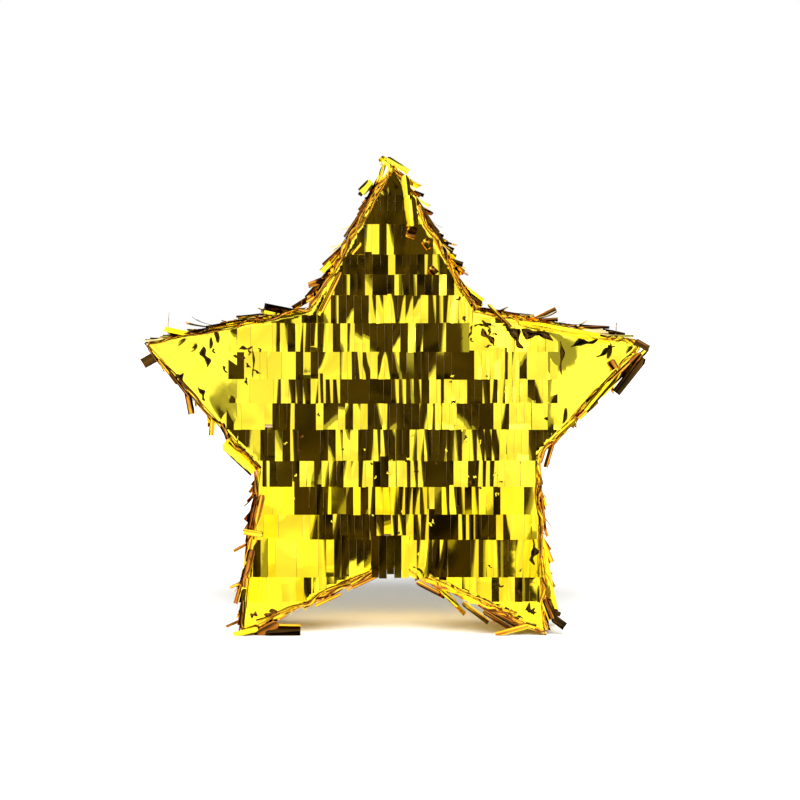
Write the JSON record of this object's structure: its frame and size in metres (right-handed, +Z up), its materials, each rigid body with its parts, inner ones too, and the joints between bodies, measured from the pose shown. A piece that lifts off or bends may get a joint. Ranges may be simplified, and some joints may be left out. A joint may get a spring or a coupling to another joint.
{
  "type": "star pinata",
  "caption": "Hollow five-pointed star party pinata of card, covered in rows of gold foil fringe, with a hinged fill flap at the back.",
  "frame": {"origin": "floor level, midway between the two feet and midway between the front and back foil", "axes": "+Z up through the top point, front face towards -Y, +X to the right seen from the front"},
  "size_m": [0.3312, 0.076, 0.3152],
  "materials": {
    "card": "plain brown corrugated card",
    "foil": "gold metallised plastic film, mirror bright, cut into fringe"
  },
  "bodies": {
    "star": {"card_front": "card", "card_back": "card", "card_wall_top": "card", "card_wall_right": "card", "card_wall_leg_right": "card", "card_wall_leg_left": "card", "card_wall_left": "card", "side_fringe_top": "foil", "side_fringe_right": "foil", "side_fringe_leg_right": "foil", "side_fringe_leg_left": "foil", "side_fringe_left": "foil", "front_row_01": "foil", "front_row_02": "foil", "front_row_03": "foil", "front_row_04": "foil", "front_row_05": "foil", "front_row_06": "foil", "front_row_07": "foil", "front_row_08": "foil", "front_row_09": "foil", "front_row_10": "foil", "front_row_11": "foil", "front_row_12": "foil", "front_row_13": "foil", "front_row_14": "foil", "front_row_15_left": "foil", "front_row_15_right": "foil", "front_tip_top": "foil", "front_tip_left": "foil", "front_tip_right": "foil", "front_tip_leg_left": "foil", "front_tip_leg_right": "foil", "back_row_01": "foil", "back_row_02": "foil", "back_row_03": "foil", "back_row_04": "foil", "back_row_05": "foil", "back_row_06": "foil", "back_row_07": "foil", "back_row_08_left": "foil", "back_row_08_right": "foil", "back_row_09_left": "foil", "back_row_09_right": "foil", "back_row_10_left": "foil", "back_row_10_right": "foil", "back_row_11": "foil", "back_row_12": "foil", "back_row_13": "foil", "back_row_14": "foil", "back_tip_top": "foil", "back_tip_left": "foil", "back_tip_right": "foil", "back_tip_leg_left": "foil", "back_tip_leg_right": "foil", "tip_curl": "foil"},
    "flap": {"fill_flap": "card", "flap_row_08": "foil", "flap_row_09": "foil", "flap_row_10": "foil"}
  },
  "joints": [
    {"name": "fill_flap_fold", "type": "hinge", "parent": "star", "child": "flap", "pos_m": [0, 0.0355, 0.1651], "axis": [1, 0, 0], "range_deg": [0, 90]}
  ]
}
